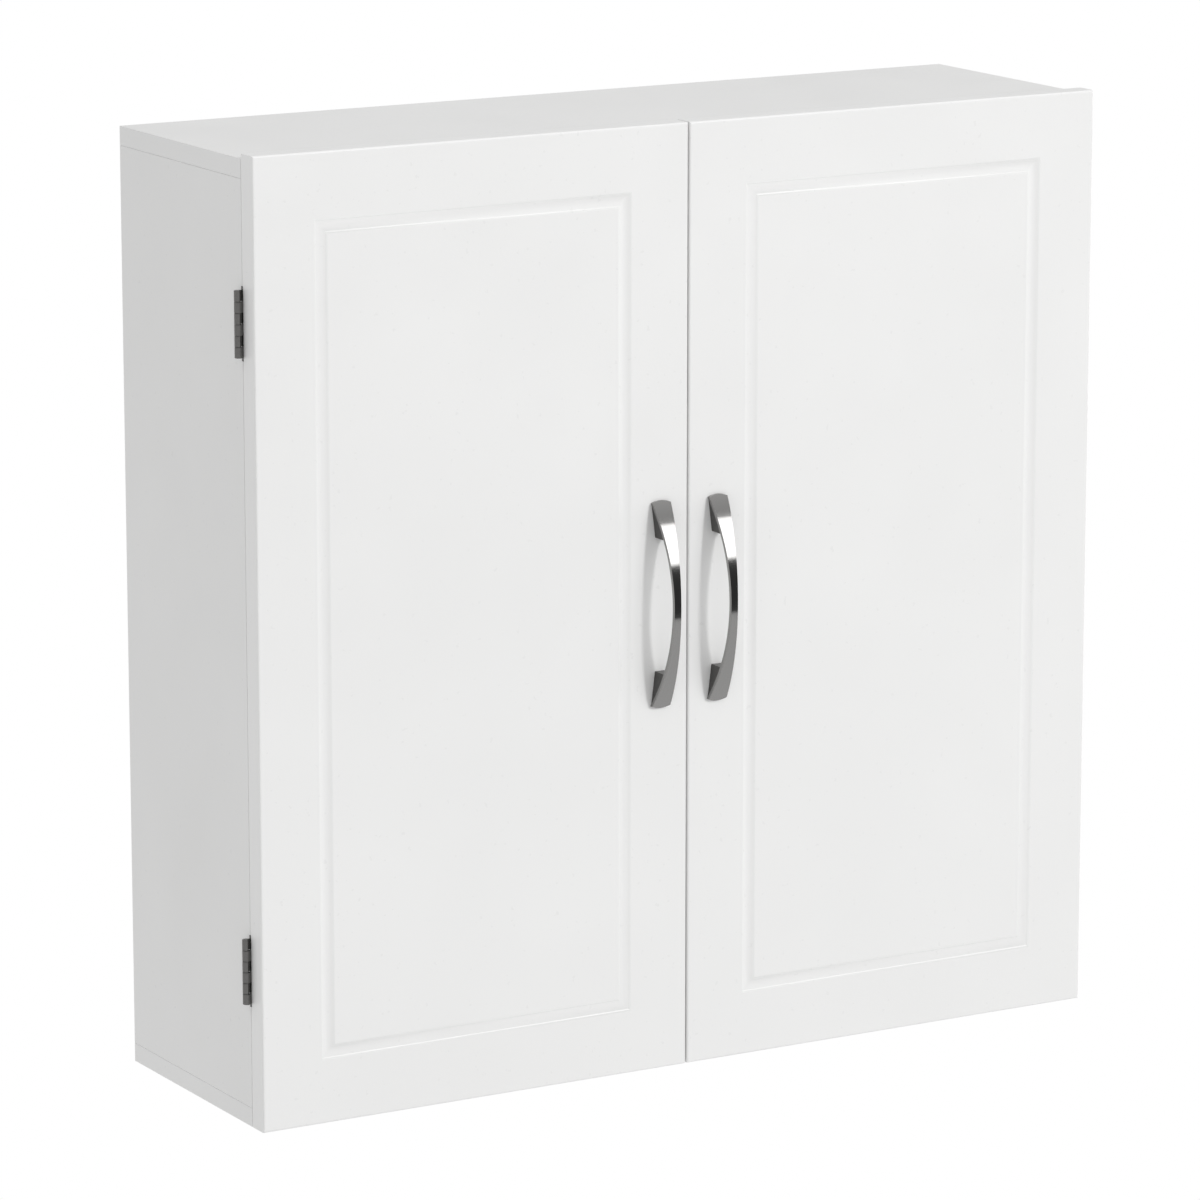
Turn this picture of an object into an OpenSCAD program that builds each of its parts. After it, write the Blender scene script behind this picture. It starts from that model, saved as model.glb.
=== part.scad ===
// Hanging wall cabinet with two routed doors, knuckle hinges, bow handles and one shelf.
// +X right, +Y into the wall, +Z up. The origin lies on the wall, midway between the two wall screws.

/* [Cabinet] */
// Width over the side panels
cabinet_w = 600; // [450:1:900]
// Height of the doors
cabinet_h = 600; // [480:1:900]
// Depth from the wall to the front of the doors
cabinet_d = 180; // [150:1:320]
// How far the doors stand above the top panel
door_proud = 3; // [0:0.5:6]

/* [Boards] */
// Thickness of the top, bottom, side and shelf boards
board_t = 12; // [12:0.5:18]
// Thickness of the back panel
back_t = 3; // [2.5:0.5:5]
// How deep the back panel sits in its grooves
back_groove_in = 5; // [3:0.5:7]
// Thickness of the hanging rail behind the back panel
rail_t = 12; // [12:0.5:18]
// Height of the hanging rail
rail_h = 60; // [50:1:90]
// Play between the shelf and each side panel
shelf_side_play = 1; // [0.5:0.5:3]
// How far the shelf stops behind the front edges
shelf_setback = 4.5; // [3:0.5:30]

/* [Wall screws] */
// Distance between the two wall screws
wall_hole_span = 400; // [300:1:400]
// Diameter of the wall screw holes
wall_hole_d = 6; // [4:0.5:8]

/* [Doors] */
// Thickness of the doors
door_t = 15; // [14:0.5:20]
// Gap between the closed doors and the carcass
door_gap = 0.5; // [0.4:0.1:0.8]
// Gap between the two closed doors
meeting_gap = 1; // [1:0.5:4]
// Radius of the doors' front edges
door_edge_r = 1.5; // [0.5:0.5:3]
// Distance from a door's edge to its routed groove
groove_in = 40; // [30:1:70]
// Width of the routed groove
groove_w = 10; // [6:0.5:14]
// Depth of the routed groove
groove_deep = 1.8; // [1:0.1:3]

/* [Handles] */
// Length of a handle over its tips
handle_len = 132; // [120:1:150]
// Distance between a handle's two screws
handle_span = 96; // [90:1:100]
// Distance from the door's free edge to the middle of the handle
handle_in = 20; // [15:1:35]
// How far a handle stands out from the door
handle_out = 22.5; // [20:0.5:28]
// Width of a handle at its tips
handle_tip_w = 13.4; // [12:0.2:16]
// Width of a handle at its waist
handle_waist_w = 4.8; // [4:0.2:8]
// Thickness of the handle's bow
bow_t = 2.4; // [2:0.1:3.5]
// Length of the foot under each tip
foot_len = 23.5; // [22:0.5:26]

/* [Hinges] */
// Distance from the carcass's top and bottom to the middle of the hinges
hinge_in = 99; // [80:1:150]
// Height of a hinge leaf
leaf_h = 45; // [44:1:60]
// Width of a hinge leaf on its board
leaf_w = 11; // [10:0.5:11.5]
// Thickness of a hinge leaf
leaf_t = 1; // [0.8:0.1:1.2]
// Length of the knuckle barrel
barrel_len = 41; // [38:1:44]
// Diameter of the knuckle barrel
barrel_d = 5; // [4.6:0.1:5.4]
// Diameter of the hinge pin
hinge_pin_d = 3; // [2.4:0.1:3]
// Distance from the side's face to the hinge pin
pin_out = 2.8; // [2.8:0.1:3.4]

/* [Catches] */
// Distance from the middle of the cabinet to the middle of each catch
catch_x = 60; // [45:1:120]
// Width of a catch's housing
catch_w = 40; // [36:1:46]
// Depth of a catch's housing
catch_d = 14; // [13:0.5:18]
// Height of a catch's housing
catch_h = 12; // [11:0.5:14]
// Thickness of the strike plate on the door
strike_t = 1.2; // [1:0.1:1.5]

/* [Hidden] */
$fn = 48;

eps = 0.5;                                   // how far a cutter runs past the face it opens
fit = 0.05;                                  // radial clearance of pins and fasteners
groove_play = 0.1;                           // clearance on each face of the back panel
half_w = cabinet_w / 2;
carcass_h = cabinet_h - door_proud;
carcass_d = cabinet_d - door_t - door_gap;
floor_z = -(carcass_h - board_t - rail_h / 2);
roof_z = floor_z + carcass_h;
side_in_x = half_w - board_t;                // inner face of a side panel
side_mid_x = half_w - board_t / 2;
back_groove_w = back_t + 2 * groove_play;
inner_back_y = -(rail_t + back_groove_w);

// Routed door
door_back_y = -(carcass_d + door_gap);
door_front_y = -cabinet_d;
door_w = half_w - meeting_gap / 2;
groove_r = (pow(groove_w / 2, 2) + pow(groove_deep, 2)) / (2 * groove_deep);

// Handle
handle_x = meeting_gap / 2 + handle_in;
handle_z = floor_z + cabinet_h / 2;
bow_tip_t = 1.5;
bow_rise = handle_out - bow_tip_t;
bow_r = (pow(handle_len / 2, 2) + pow(bow_rise, 2)) / (2 * bow_rise);
tip_r = 16;
waist_in = (handle_tip_w - handle_waist_w) / 2;
waist_r = (pow(handle_len / 2, 2) + pow(waist_in, 2)) / (2 * waist_in);
bow_fn = 720;                                // the bow's long curves need finer facets
foot_tip_gap = 2;                            // the foot stops this far short of the tip
foot_tip_w = handle_tip_w - 1.4;
foot_end_w = 6.6;
handle_screw_d = 4;
handle_screw_grip = 7;                       // length of screw inside the handle
handle_head_d = 8;
handle_head_h = 2.4;

// Hinge
hinge_zs = [floor_z + hinge_in, roof_z - hinge_in];
hinge_y = -(carcass_d + door_gap / 2);
knuckles = 6;
knuckle_play = 0.25;
knuckle_pitch = barrel_len / knuckles;
leaf_screw_zs = [-15, 0, 15];
leaf_screw_d = 2.6;
leaf_screw_head_d = 4.8;
leaf_screw_len = 11;
leaf_screw_x = pin_out + board_t / 2;
pocket_play = 0.15;

// Cam fixings
cam_d = 15;
cam_past = 3.7;                              // how far a cam reaches past the middle of its board
cam_in = 24;                                 // from a board's edge to the middle of the cam
cam_behind = 32;                             // from the front edges to the front cams
cam_ahead = 19;                              // from the back panel to the back cams
dowel_step = 28;                             // from a cam to its dowel
cam_ys = [inner_back_y - cam_ahead, -(carcass_d - cam_behind)];
dowel_ys = [cam_ys[0] - dowel_step, cam_ys[1] + dowel_step];
rail_fix_step = 14;                          // from the rail's middle to its cam and its dowel
bolt_thread_d = 5;
bolt_thread_len = 9;
bolt_way_d = 7;
bolt_head_d = 6.4;
bolt_neck_d = 3.8;
bolt_head_past = 1.6;                        // how far the bolt's head ends past the cam's middle
bolt_head_back = 2;                          // how far before the cam's middle the head starts
bolt_neck_end = 2.8;                         // how far before the cam's middle the neck ends
bolt_tip_d = 3.2;
bolt_tip_len = 1.5;
cam_slot_d = 7.4;                            // the cam's hollow round the bolt's head
cam_slot_neck_d = 4.6;
cam_slot_back = 3.2;                         // from the cam's middle to the hollow's near end
cam_slot_len = 5.2;
cam_sunk = 0.3;                              // the cam's top lies this far below the board's face
cam_drive_d = 4.4;                           // the cam's screwdriver recess
cam_drive_deep = 2.4;
cam_drive_slot = [6.8, 1.4];
dowel_d = 6;
dowel_short = 8;                             // length of dowel in a board's face
dowel_long = 22;                             // length of dowel in a board's edge
cap_d = 17;
cap_t = 1;
cap_peg_d = 4;
cap_peg_len = 1.8;

// Shelf
shelf_x = side_in_x - shelf_side_play;
shelf_z = floor_z + carcass_h / 2 - board_t / 2;
shelf_hole_d = 5;
shelf_hole_deep = 9;
shelf_hole_step = 64;
shelf_pin_ahead = 30;                        // from the back panel to the back pins
shelf_pin_behind = 34;                       // from the front edges to the front pins
shelf_pin_ys = [inner_back_y - shelf_pin_ahead, -(carcass_d - shelf_pin_behind)];
shelf_back_gap = 1;                          // between the shelf and the back panel
shelf_pin_in = 8;
tongue_len = 9;
tongue_t = 2;
tongue_w = 8;
pin_collar_t = 0.8;
pin_stub_len = 3;                            // length of round pin in front of the side's face
pin_flat_in = 1;                             // where the stub is cut flat for the shelf

// Magnetic catch
pole_out = 1;
strike_play = 0.3;
pole_t = 1.2;
magnet_h = 5;
magnet_w = 26;
magnet_d = 9;
catch_ear_w = 9;
catch_ear_t = 3;
catch_slot_shift = 1.5;                      // how far the ears' slots let the catch shift
catch_slot_play = 0.6;
magnet_back_gap = 0.5;                       // room behind the magnet
catch_screw_d = 2.8;
catch_screw_len = 11;
catch_front_y = door_back_y + strike_t + strike_play + pole_out;
catch_z = roof_z - board_t - catch_h / 2;
strike_w = 34;
strike_h = 10;
strike_screw_d = 3;
strike_screw_len = 12;
strike_head_d = 5.6;

// Puts a left-hand piece on the right
module on_right() mirror([1, 0, 0]) children();

// A straight cylinder along X, from x = 0
module rod_x(d, len) rotate([0, 90, 0]) cylinder(d = d, h = len);

// A straight cylinder along Y, from y = 0
module rod_y(d, len) rotate([-90, 0, 0]) cylinder(d = d, h = len);

// Countersunk screw, its head's face at z = 0 and its point down
module flat_screw(d, len, head_d, head_h) {
    difference() {
        rotate_extrude() polygon([
            [0, 0], [head_d / 2, 0], [d / 2, -head_h], [d / 2, d - len], [0, -len]
        ]);
        cross_slot(head_d * 0.6, head_h * 0.7);
    }
}

// Pan-headed screw, the underside of its head at z = 0 and its point down
module pan_screw(d, len, head_d, head_h, point) {
    difference() {
        rotate_extrude() polygon([
            [0, head_h], [head_d * 0.36, head_h], [head_d / 2, head_h * 0.4], [head_d / 2, 0],
            [d / 2, 0], [d / 2, point - len], [d / 2 - min(point, d / 4), -len], [0, -len]
        ]);
        translate([0, 0, head_h]) cross_slot(head_d * 0.5, head_h * 0.5);
    }
}

// Cross recess cut down from z = 0
module cross_slot(w, deep) {
    for (turn = [0, 90])
        rotate([0, 0, turn])
            translate([-w / 2, -w / 8, -deep]) cube([w, w / 4, deep + eps]);
}

// Countersunk hole through a plate of thickness t whose face is at z = 0
module sunk_hole(d, head_d, t) {
    translate([0, 0, -t]) cylinder(d1 = d + 2 * fit, d2 = head_d + 2 * fit, h = t);
    translate([0, 0, -t - eps]) cylinder(d = d + 2 * fit, h = t + 2 * eps);
}

// Places: at each end of both side panels, with +Z into the side and +X into the cabinet
module at_corners() {
    for (right = [0, 1], top = [0, 1])
        mirror([right, 0, 0])
            translate([-side_mid_x, 0, top == 1 ? roof_z - board_t : floor_z + board_t])
                mirror([0, 0, top]) children();
}

// Places: at each end of the rail, with +Z along the rail and +X towards the wall
module at_rail_ends(up) {
    for (right = [0, 1])
        mirror([right, 0, 0])
            translate([-side_in_x, -rail_t / 2, up]) rotate([90, 0, 90]) children();
}

module each_cam() {
    at_corners() for (y = cam_ys) translate([0, y, 0]) cam_face(board_t) children();
    at_rail_ends(-rail_fix_step) cam_face(rail_t) children();
}

// Moves the cam's open face to the face of a board of thickness t
module cam_face(t) {
    $face_x = t / 2;
    children();
}

module each_dowel() {
    at_corners() for (y = dowel_ys) translate([0, y, 0]) children();
    at_rail_ends(rail_fix_step) children();
}

// All that the cams and their bolts need cut away
module cam_cuts() {
    each_cam() {
        translate([0, 0, -bolt_thread_len - 2 * fit])
            cylinder(d = bolt_thread_d + 2 * fit, h = bolt_thread_len + 2 * fit);
        cylinder(d = bolt_way_d, h = cam_in);
        translate([-cam_past, 0, cam_in]) rod_x(cam_d, $face_x + cam_past + eps);
    }
}

module dowel_cuts() {
    each_dowel()
        translate([0, 0, -dowel_short - 0.5])
            cylinder(d = dowel_d + 2 * fit, h = dowel_short + dowel_long + 1);
}

// The groove that the back panel slides into, cut in the top, the bottom and the sides
module back_groove() {
    reach = side_in_x + back_groove_in + groove_play;
    translate([-reach, inner_back_y, floor_z + board_t - back_groove_in - groove_play])
        cube([2 * reach, back_groove_w, carcass_h - 2 * (board_t - back_groove_in - groove_play)]);
}

module top_panel() {
    color("white") difference() {
        translate([-half_w, -carcass_d, roof_z - board_t]) cube([cabinet_w, carcass_d, board_t]);
        back_groove();
        cam_cuts();
        dowel_cuts();
        at_catch_screws() translate([0, 0, catch_ear_t])
            cylinder(d = catch_screw_d + 2 * fit, h = catch_screw_len - catch_ear_t + fit);
    }
}

module bottom_panel() {
    color("white") difference() {
        translate([-half_w, -carcass_d, floor_z]) cube([cabinet_w, carcass_d, board_t]);
        back_groove();
        cam_cuts();
        dowel_cuts();
    }
}

module left_side_panel() {
    color("white") difference() {
        translate([-half_w, -carcass_d, floor_z + board_t])
            cube([board_t, carcass_d, carcass_h - 2 * board_t]);
        back_groove();
        cam_cuts();
        dowel_cuts();
        for (y = shelf_pin_ys, step = [-1, 0, 1])
            translate([-side_in_x - shelf_hole_deep, y, shelf_pin_z() + step * shelf_hole_step])
                rod_x(shelf_hole_d + 2 * fit, shelf_hole_deep + eps);
        for (level = [0, 1]) at_hinge(level) leaf_cut();
    }
}

module right_side_panel() {
    on_right() left_side_panel();
}

module back_panel() {
    reach = side_in_x + back_groove_in;
    color("gainsboro") difference() {
        translate([-reach, inner_back_y + groove_play, floor_z + board_t - back_groove_in])
            cube([2 * reach, back_t, carcass_h - 2 * (board_t - back_groove_in)]);
        for (side = [-1, 1])
            translate([side * wall_hole_span / 2, inner_back_y - eps, 0])
                rod_y(wall_hole_d + 1, back_groove_w + 2 * eps);
    }
}

module hanging_rail() {
    color("burlywood") difference() {
        translate([-side_in_x, -rail_t, roof_z - board_t - rail_h])
            cube([2 * side_in_x, rail_t, rail_h]);
        for (side = [-1, 1])
            translate([side * wall_hole_span / 2, -rail_t - eps, 0])
                rod_y(wall_hole_d, rail_t + 2 * eps);
        cam_cuts();
        dowel_cuts();
    }
}

module shelf() {
    depth = carcass_d + inner_back_y - shelf_setback - shelf_back_gap;
    color("white")
        translate([-shelf_x, -carcass_d + shelf_setback, shelf_z])
            cube([2 * shelf_x, depth, board_t]);
}

// Height of the pins' middle: their tongues lie under the shelf
function shelf_pin_z() = shelf_z - tongue_t - fit;

module shelf_pins() {
    color("silver")
        for (right = [0, 1], y = shelf_pin_ys)
            mirror([right, 0, 0]) translate([-side_in_x, y, shelf_pin_z()]) {
                difference() {
                    translate([-shelf_pin_in, 0, 0])
                        rod_x(shelf_hole_d, shelf_pin_in + pin_stub_len);
                    translate([pin_flat_in, -shelf_hole_d, tongue_t]) cube(2 * shelf_hole_d);
                }
                translate([0, -tongue_w / 2, 0]) cube([tongue_len, tongue_w, tongue_t]);
                difference() {
                    rod_x(tongue_w, pin_collar_t);
                    translate([-eps, -tongue_w, tongue_t]) cube(2 * tongue_w);
                }
            }
}

module cam_locks() {
    color("silver")
        each_cam() translate([0, 0, cam_in]) difference() {
            translate([-cam_past + fit, 0, 0])
                rod_x(cam_d - 2 * fit, $face_x + cam_past - cam_sunk);
            translate([0, 0, -cam_d]) cylinder(d = cam_slot_neck_d, h = cam_d);
            translate([0, 0, -cam_slot_back]) cylinder(d = cam_slot_d, h = cam_slot_len);
            translate([$face_x - cam_drive_deep, 0, 0]) rotate([0, 90, 0]) {
                cylinder(d = cam_drive_d, h = cam_drive_deep + eps);
                translate([-cam_drive_slot[0] / 2, -cam_drive_slot[1] / 2, 0])
                    cube([cam_drive_slot[0], cam_drive_slot[1], cam_drive_deep + eps]);
            }
        }
}

module cam_bolts() {
    color("silver")
        each_cam() rotate_extrude() polygon([
            [0, -bolt_thread_len], [bolt_tip_d / 2, -bolt_thread_len],
            [bolt_thread_d / 2, -bolt_thread_len + bolt_tip_len], [bolt_thread_d / 2, 0],
            [bolt_head_d / 2, 0], [bolt_head_d / 2, cam_in - cam_d / 2 - 1],
            [bolt_neck_d / 2, cam_in - cam_d / 2], [bolt_neck_d / 2, cam_in - bolt_neck_end],
            [bolt_head_d / 2, cam_in - bolt_head_back],
            [bolt_head_d / 2, cam_in + bolt_head_past - 1],
            [bolt_head_d / 2 - 1, cam_in + bolt_head_past], [0, cam_in + bolt_head_past]
        ]);
}

module cam_caps() {
    color("white")
        at_corners() for (y = cam_ys) translate([board_t / 2, y, cam_in]) {
            rod_x(cap_d, cap_t);
            translate([-cap_peg_len, 0, 0]) rod_x(cap_peg_d, cap_peg_len + cap_t / 5);
        }
}

module dowels() {
    color("burlywood")
        each_dowel() rotate_extrude() polygon([
            [0, -dowel_short], [dowel_d / 2 - 0.8, -dowel_short],
            [dowel_d / 2, -dowel_short + 0.8], [dowel_d / 2, dowel_long - 0.8],
            [dowel_d / 2 - 0.8, dowel_long], [0, dowel_long]
        ]);
}

// Places: under both ears of both catches, at the ears' lower face
module at_catch_screws() {
    for (right = [0, 1]) mirror([right, 0, 0]) at_catch_ears() children();
}

module at_catch_ears() {
    for (side = [-1, 1])
        translate([
            -catch_x + side * (catch_w + catch_ear_w) / 2,
            catch_front_y + catch_d / 2,
            roof_z - board_t - catch_ear_t
        ]) children();
}

module left_catch_housing() {
    color("white") difference() {
        union() {
            translate([-catch_x - catch_w / 2, catch_front_y, roof_z - board_t - catch_h])
                cube([catch_w, catch_d, catch_h]);
            translate([
                -catch_x - catch_w / 2 - catch_ear_w, catch_front_y, roof_z - board_t - catch_ear_t
            ])
                cube([catch_w + 2 * catch_ear_w, catch_d, catch_ear_t]);
        }
        translate([-catch_x, catch_front_y - eps, catch_z])
            catch_stack(magnet_w + 2 * fit, magnet_d + magnet_back_gap + eps, fit);
        at_catch_ears() for (shift = [-1, 0, 1])
            translate([0, shift * catch_slot_shift, -eps])
                cylinder(d = catch_screw_d + catch_slot_play, h = catch_ear_t + 2 * eps);
    }
}

// A block as wide as the magnet and as high as the magnet and its two poles, grown by play
module catch_stack(w, d, play) {
    h = magnet_h + 2 * pole_t + 2 * play;
    translate([-w / 2, 0, -h / 2]) cube([w, d, h]);
}

module left_catch_magnet() {
    color("dimgray")
        translate([-catch_x - magnet_w / 2, catch_front_y, catch_z - magnet_h / 2])
            cube([magnet_w, magnet_d, magnet_h]);
}

module left_catch_poles() {
    color("silver")
        for (side = [-1, 1])
            translate([
                -catch_x - magnet_w / 2, catch_front_y - pole_out,
                catch_z + side * (magnet_h + pole_t) / 2 - pole_t / 2
            ])
                cube([magnet_w, magnet_d + pole_out, pole_t]);
}

module right_catch_housing() {
    on_right() left_catch_housing();
}

module right_catch_magnet() {
    on_right() left_catch_magnet();
}

module right_catch_poles() {
    on_right() left_catch_poles();
}

module catch_screws() {
    color("silver")
        at_catch_screws() mirror([0, 0, 1]) pan_screw(catch_screw_d, catch_screw_len, 5.6, 2, 3);
}

module left_strike_plate() {
    color("silver") difference() {
        translate([-catch_x - strike_w / 2, door_back_y, catch_z - strike_h / 2])
            cube([strike_w, strike_t, strike_h]);
        at_strike() sunk_hole(strike_screw_d, strike_head_d, strike_t);
    }
}

// Place: the middle of the strike plate's face, with +Z into the cabinet
module at_strike() {
    translate([-catch_x, door_back_y + strike_t, catch_z]) rotate([-90, 0, 0]) children();
}

module left_strike_screw() {
    color("silver")
        at_strike() flat_screw(strike_screw_d, strike_screw_len, strike_head_d, strike_t);
}

module right_strike_plate() {
    on_right() left_strike_plate();
}

module right_strike_screw() {
    on_right() left_strike_screw();
}

// Place: a left hinge's pin at mid-height, level 0 for the lower hinge and 1 for the upper
module at_hinge(level) {
    translate([-(half_w + pin_out), hinge_y, hinge_zs[level]]) children();
}

// The leaf on the carcass, or, mirrored by its caller, the leaf on the door. first is 0 where the
// top knuckle is the leaf's own
module hinge_leaf(first) {
    color("dimgray") difference() {
        union() {
            translate([pin_out, door_gap / 2, -leaf_h / 2]) cube([leaf_w, leaf_t, leaf_h]);
            for (k = [first : 2 : knuckles - 1])
                translate([0, 0, barrel_len / 2 - (k + 1) * knuckle_pitch + knuckle_play / 2]) {
                    cylinder(d = barrel_d, h = knuckle_pitch - knuckle_play);
                    translate([0, door_gap / 2, 0])
                        cube([pin_out + eps, leaf_t, knuckle_pitch - knuckle_play]);
                }
        }
        translate([0, 0, -barrel_len / 2 - eps])
            cylinder(d = hinge_pin_d + 2 * fit, h = barrel_len + 2 * eps);
        at_leaf_screws() sunk_hole(leaf_screw_d, leaf_screw_head_d, leaf_t);
    }
}

// Places: a leaf's screws, at the leaf's free face, with +Z out of the board
module at_leaf_screws() {
    for (z = leaf_screw_zs)
        translate([leaf_screw_x, door_gap / 2, z]) rotate([90, 0, 0]) children();
}

// The pocket and the screw holes that a leaf needs in its board
module leaf_cut() {
    translate([pin_out - eps, door_gap / 2 - eps, -leaf_h / 2 - pocket_play])
        cube([leaf_w + eps + pocket_play, leaf_t + eps, leaf_h + 2 * pocket_play]);
    at_leaf_screws()
        translate([0, 0, -leaf_screw_len - 2 * fit])
            cylinder(d = leaf_screw_d + 2 * fit, h = leaf_screw_len);
}

module leaf_screws() {
    at_leaf_screws() flat_screw(leaf_screw_d, leaf_screw_len, leaf_screw_head_d, leaf_t);
}

module frame_leaf(level) {
    at_hinge(level) hinge_leaf(0);
}

module door_leaf(level) {
    at_hinge(level) mirror([0, 1, 0]) hinge_leaf(1);
}

module hinge_pin(level) {
    color("dimgray")
        at_hinge(level) translate([0, 0, -barrel_len / 2]) cylinder(d = hinge_pin_d, h = barrel_len);
}

module frame_hinge_screws() {
    color("dimgray")
        for (right = [0, 1], level = [0, 1])
            mirror([right, 0, 0]) at_hinge(level) leaf_screws();
}

module left_door_hinge_screws() {
    color("dimgray")
        for (level = [0, 1]) at_hinge(level) mirror([0, 1, 0]) leaf_screws();
}

module right_door_hinge_screws() {
    on_right() left_door_hinge_screws();
}

// Board section of the given length, with its two lower corners rounded
module edge_profile(len) {
    translate([0, door_edge_r]) square([len, door_t - door_edge_r]);
    translate([door_edge_r, 0]) square([len - 2 * door_edge_r, door_t]);
    for (x = [door_edge_r, len - door_edge_r]) translate([x, door_edge_r]) circle(r = door_edge_r);
}

// One run of the routed groove, half as long as reach each way from the door's middle and
// away from it by off, with both ends mitred
module groove_run(reach, off) {
    intersection() {
        translate([-reach - groove_w, -groove_deep + groove_r, off])
            rod_x(2 * groove_r, 2 * (reach + groove_w));
        rotate([90, 0, 0]) linear_extrude(height = 4 * groove_r, center = true)
            polygon([
                [-reach - groove_w / 2, off + groove_w / 2], [reach + groove_w / 2, off + groove_w / 2],
                [reach - groove_w / 2, off - groove_w / 2], [-reach + groove_w / 2, off - groove_w / 2]
            ]);
    }
}

// The routed groove round the door's face, about the middle of the face, cut towards +Y
module door_groove() {
    reach_x = door_w / 2 - groove_in - groove_w / 2;
    reach_z = cabinet_h / 2 - groove_in - groove_w / 2;
    mirror([0, 1, 0]) {
        for (turn = [0, 180]) rotate([0, turn, 0]) groove_run(reach_x, reach_z);
        for (turn = [90, 270]) rotate([0, turn, 0]) groove_run(reach_z, reach_x);
    }
}

module left_door() {
    color("white") difference() {
        intersection() {
            translate([-half_w, door_front_y, floor_z])
                linear_extrude(height = cabinet_h) edge_profile(door_w);
            translate([-half_w, door_front_y, floor_z + cabinet_h]) rotate([0, 90, 0])
                linear_extrude(height = door_w) edge_profile(cabinet_h);
        }
        translate([-half_w + door_w / 2, door_front_y, floor_z + cabinet_h / 2]) door_groove();
        for (level = [0, 1]) at_hinge(level) mirror([0, 1, 0]) leaf_cut();
        at_handle_screws() translate([0, 0, -door_t - eps])
            cylinder(d = handle_screw_d + 0.5, h = door_t + 2 * eps);
        at_strike() translate([0, 0, -strike_screw_len - 2 * fit])
            cylinder(d = strike_screw_d + 2 * fit, h = strike_screw_len);
    }
}

module right_door() {
    on_right() left_door();
}

// Places: a handle's screws, on the door's back, with +Z into the cabinet
module at_handle_screws() {
    for (side = [-1, 1])
        translate([-handle_x, door_back_y, handle_z + side * handle_span / 2])
            rotate([-90, 0, 0]) children();
}

// Front view of the bow: wide round-ended tips and a narrow waist
module bow_outline() {
    difference() {
        intersection() {
            square([handle_tip_w, handle_len], center = true);
            union() {
                square([2 * tip_r, handle_len - 2 * tip_r], center = true);
                for (side = [-1, 1])
                    translate([0, side * (handle_len / 2 - tip_r)]) circle(r = tip_r);
            }
        }
        for (side = [-1, 1])
            translate([side * (handle_waist_w / 2 + waist_r), 0]) circle(r = waist_r, $fn = bow_fn);
    }
}

// Front view of the foot under the upper tip
module foot_outline() {
    polygon([
        [-foot_tip_w / 2, handle_len / 2 - foot_tip_gap],
        [foot_tip_w / 2, handle_len / 2 - foot_tip_gap],
        [foot_end_w / 2, handle_len / 2 - foot_len],
        [-foot_end_w / 2, handle_len / 2 - foot_len]
    ]);
}

module left_handle() {
    color("silver") translate([-handle_x, door_front_y, handle_z]) difference() {
        union() {
            intersection() {
                rotate([90, 0, 0]) linear_extrude(height = handle_out + eps) bow_outline();
                translate([-handle_tip_w, bow_r - handle_out, 0]) difference() {
                    rod_x(2 * bow_r, 2 * handle_tip_w, $fn = bow_fn);
                    translate([-eps, 0, 0])
                        rod_x(2 * (bow_r - bow_t), 2 * handle_tip_w + 2 * eps, $fn = bow_fn);
                }
            }
            intersection() {
                for (side = [0, 1]) mirror([0, 0, side])
                    rotate([90, 0, 0]) linear_extrude(height = handle_out) foot_outline();
                translate([-handle_tip_w, bow_r - handle_out, 0])
                    rod_x(2 * (bow_r - bow_t / 2), 2 * handle_tip_w, $fn = bow_fn);
            }
        }
        for (side = [-1, 1])
            translate([0, -handle_screw_grip - 1, side * handle_span / 2])
                rod_y(handle_screw_d + 2 * fit, handle_screw_grip + 1 + eps);
    }
}

module right_handle() {
    on_right() left_handle();
}

module left_handle_screws() {
    color("silver")
        at_handle_screws()
            pan_screw(handle_screw_d, door_t + handle_screw_grip, handle_head_d, handle_head_h, 0.6);
}

module right_handle_screws() {
    on_right() left_handle_screws();
}

module left_upper_hinge_frame_leaf() frame_leaf(1);
module left_upper_hinge_door_leaf() door_leaf(1);
module left_upper_hinge_pin() hinge_pin(1);
module left_lower_hinge_frame_leaf() frame_leaf(0);
module left_lower_hinge_door_leaf() door_leaf(0);
module left_lower_hinge_pin() hinge_pin(0);
module right_upper_hinge_frame_leaf() on_right() frame_leaf(1);
module right_upper_hinge_door_leaf() on_right() door_leaf(1);
module right_upper_hinge_pin() on_right() hinge_pin(1);
module right_lower_hinge_frame_leaf() on_right() frame_leaf(0);
module right_lower_hinge_door_leaf() on_right() door_leaf(0);
module right_lower_hinge_pin() on_right() hinge_pin(0);

top_panel();
bottom_panel();
left_side_panel();
right_side_panel();
back_panel();
hanging_rail();
shelf();
shelf_pins();
cam_locks();
cam_bolts();
cam_caps();
dowels();
left_catch_housing();
left_catch_magnet();
left_catch_poles();
right_catch_housing();
right_catch_magnet();
right_catch_poles();
catch_screws();
left_upper_hinge_frame_leaf();
left_upper_hinge_pin();
left_lower_hinge_frame_leaf();
left_lower_hinge_pin();
right_upper_hinge_frame_leaf();
right_upper_hinge_pin();
right_lower_hinge_frame_leaf();
right_lower_hinge_pin();
frame_hinge_screws();
left_door();
left_handle();
left_handle_screws();
left_strike_plate();
left_strike_screw();
left_upper_hinge_door_leaf();
left_lower_hinge_door_leaf();
left_door_hinge_screws();
right_door();
right_handle();
right_handle_screws();
right_strike_plate();
right_strike_screw();
right_upper_hinge_door_leaf();
right_lower_hinge_door_leaf();
right_door_hinge_screws();
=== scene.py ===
# Hanging wall cabinet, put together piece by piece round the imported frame. Lengths are in metres.
import math

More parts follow.
